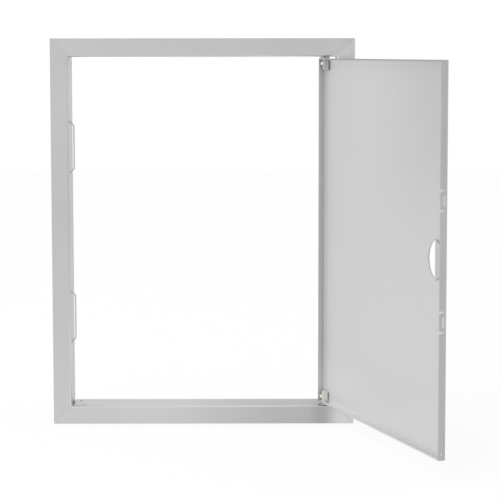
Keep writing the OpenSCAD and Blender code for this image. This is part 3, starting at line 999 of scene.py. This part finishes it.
for end, end_name in ((-1, "bottom"), (1, "top")):
    node = f"hinge_block_{end_name}"
    seat_z = max(abs(corner.z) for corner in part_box(node))
    block = moulded(closed_mesh(node, block_forms(seat_z, end)))
    block.vertices.foreach_set("co", swing(mesh_points(block), OPEN_ANGLE).ravel())
    block.shade_smooth()
    fitted_piece(f"{node}_moulded", block, ivory, "leaf", node)

# %% [markdown]
# ## Stage and light
# Bright metal shows what is around it, so the surroundings are part of its look. The panel stands on
# a pale floor in a white room. To the right in front, where the dark side of a studio would be, the
# room is dimmer, which shades the folds that face that way, and so is the floor, counted from a point
# just in front of the panel. The room is also slightly dimmer overhead. The camera sees room and floor
# as white, and the floor keeps a soft shadow. One wide lamp above on the left gives the plastic and
# the edges some shape, but isn't mirrored in the sheets.

# %% Floor
DIM_SIDE = unit(np.array([0.72, -0.69, 0.0]))
DIM_FACING = (0.5, 1.0)
DIM_FROM = (0.2, -0.2)
DIM_BY = 0.28
OVERHEAD = (0.2, 0.9)
DIM_OVERHEAD = 0.1
FLOOR_HALF = 4
FLOOR_TONE = (0.85, 0.85, 0.85, 1)
FLOOR_GLOW_SHARE = 0.8
FLOOR_GLOW = 1.06

floor_points = FLOOR_HALF * np.array([[-1, -1], [1, -1], [1, 1], [-1, 1]], float)
floor_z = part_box("frame_bottom")[0].z
floor_mesh = bpy.data.meshes.new("floor")
floor_mesh.from_pydata(np.column_stack([floor_points, np.full(4, floor_z)]), [], [(0, 1, 2, 3)])
floor = bpy.data.objects.new("floor", floor_mesh)
scene.collection.objects.link(floor)
floor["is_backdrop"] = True


def seen_directly(material):
    """One for rays from the camera and for rays mirrored or let through, and zero for scattered ones."""
    rays = add_node(material, "ShaderNodeLightPath").outputs
    mirrored = calculate(material, "MAXIMUM", rays["Is Glossy Ray"], rays["Is Transmission Ray"])
    return calculate(material, "MAXIMUM", rays["Is Camera Ray"], mirrored)


def seen_level(material, direction):
    """How bright the surroundings are in a direction: white to the camera, and dimmer on the dim side."""
    facing = add_node(material, "ShaderNodeVectorMath", {"operation": "DOT_PRODUCT"})
    facing.inputs[1].default_value = DIM_SIDE
    join(material, (direction, facing.inputs[0]))
    beside = fade(material, facing.outputs["Value"], *DIM_FACING)
    overhead = fade(material, split(material, direction, "Z")[0], *OVERHEAD)
    level = calculate(material, "MULTIPLY_ADD", beside, -DIM_BY, 1.0)
    level = calculate(material, "MULTIPLY_ADD", overhead, -DIM_OVERHEAD, level)
    rays = add_node(material, "ShaderNodeLightPath").outputs
    return calculate(material, "MAXIMUM", rays["Is Camera Ray"], level)


pale = bpy.data.materials.new("pale_floor")
pale.use_nodes = True
pale.cycles.emission_sampling = "NONE"
pale.node_tree.nodes.clear()
pale_matt = add_node(pale, "ShaderNodeBsdfDiffuse", Color=FLOOR_TONE)
pale_place = add_node(pale, "ShaderNodeTexCoord").outputs["Object"]
pale_from = add_node(pale, "ShaderNodeVectorMath", {"operation": "SUBTRACT"})
pale_from.inputs[1].default_value = (*DIM_FROM, floor_z)
pale_way = add_node(pale, "ShaderNodeVectorMath", {"operation": "NORMALIZE"})
pale_level = seen_level(pale, pale_way.outputs[0])
pale_glow = add_node(pale, "ShaderNodeEmission")
pale_mix = add_node(pale, "ShaderNodeMixShader", Fac=FLOOR_GLOW_SHARE)
pale_out = add_node(pale, "ShaderNodeOutputMaterial")
join(
    pale,
    (pale_place, pale_from.inputs[0]),
    (pale_from.outputs[0], pale_way.inputs[0]),
    (calculate(pale, "MULTIPLY", pale_level, FLOOR_GLOW), pale_glow.inputs["Strength"]),
    (pale_matt.outputs[0], pale_mix.inputs[1]),
    (pale_glow.outputs[0], pale_mix.inputs[2]),
    (pale_mix.outputs[0], pale_out.inputs["Surface"]),
)
floor_mesh.materials.append(pale)

# %% Room
ROOM_LIGHT = 0.8

room = bpy.data.worlds.new("room")
room.use_nodes = True
room.cycles.sampling_method = "NONE"
room.node_tree.nodes.clear()
scene.world = room

room_light = add_node(room, "ShaderNodeBackground", Color=(1, 1, 1, 1), Strength=ROOM_LIGHT)
room_white = add_node(room, "ShaderNodeBackground", Color=(1, 1, 1, 1))
room_direction = add_node(room, "ShaderNodeTexCoord")
room_mix = add_node(room, "ShaderNodeMixShader")
room_out = add_node(room, "ShaderNodeOutputWorld")
join(
    room,
    (seen_level(room, room_direction.outputs["Generated"]), room_white.inputs["Strength"]),
    (seen_directly(room), room_mix.inputs[0]),
    (room_light.outputs[0], room_mix.inputs[1]),
    (room_white.outputs[0], room_mix.inputs[2]),
    (room_mix.outputs[0], room_out.inputs["Surface"]),
)

# %% Lamp
LAMP_AT = (-1.5, -1.6, 1.9)
LAMP_SIZE = 2.4
LAMP_POWER = 18

lamp = bpy.data.objects.new("soft_lamp", bpy.data.lights.new("soft_lamp", "AREA"))
lamp.data.shape = "SQUARE"
lamp.data.size = LAMP_SIZE
lamp.data.energy = LAMP_POWER
lamp.visible_glossy = False
lamp.location = LAMP_AT
lamp.rotation_euler = (-lamp.location).to_track_quat("-Z", "Y").to_euler()
scene.collection.objects.link(lamp)
scene.view_settings.view_transform = "Standard"
print("stage and light are set")

# %% [markdown]
# ## Finish
# The solids set the real size, so the dressed panel must stay inside their box.

# %% Compare the boxes and close
dressed_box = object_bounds()
steps_out = [np.subtract(solids_box[0], dressed_box[0]), np.subtract(dressed_box[1], solids_box[1])]
print(f"largest step outside the solids' box: {1000 * np.max(steps_out):.3f} mm")
